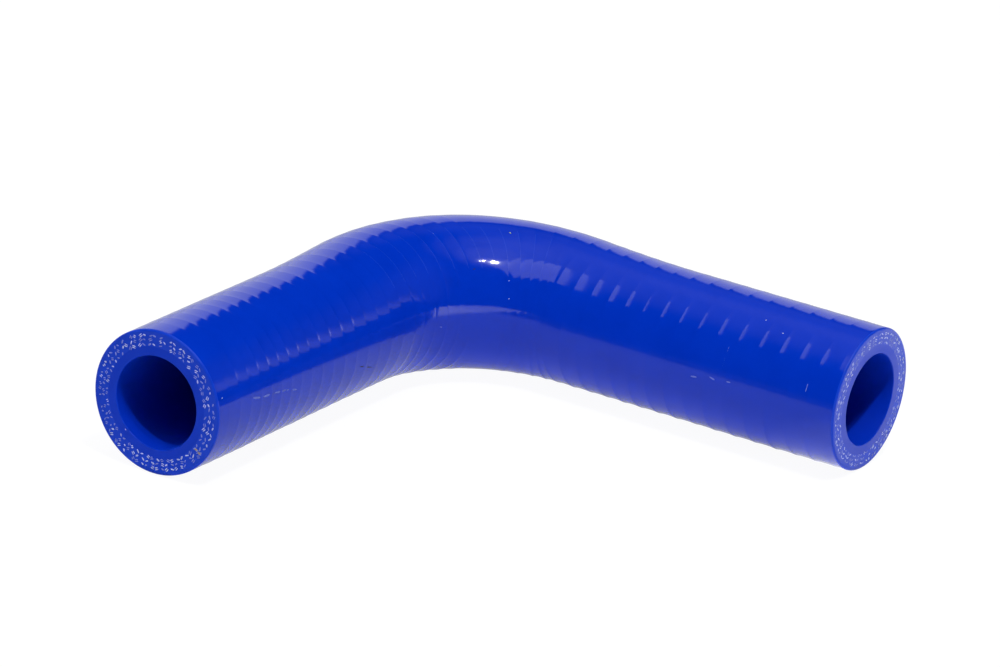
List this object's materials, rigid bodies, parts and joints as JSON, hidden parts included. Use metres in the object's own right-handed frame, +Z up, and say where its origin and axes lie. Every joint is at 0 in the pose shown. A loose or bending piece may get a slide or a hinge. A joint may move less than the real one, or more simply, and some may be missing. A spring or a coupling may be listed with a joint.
{
  "type": "silicone elbow hose",
  "caption": "Glossy blue 90 degree elbow coupling hose in reinforced silicone, with equal straight legs, square cut ends and a fine spiral tape line outside.",
  "frame": {"origin": "under the middle of the bounding box, on the surface that the hose lies on", "axes": "+Z up from that surface; leg B runs along +X and leg A along -Y, so that the outside of the bend is at -X +Y"},
  "size_m": [0.1174, 0.1174, 0.0318],
  "materials": {
    "silicone": "glossy moulded silicone, ultramarine blue, with a fine raised tape line"
  },
  "bodies": {
    "root": {"elbow_hose": "silicone"}
  },
  "joints": []
}
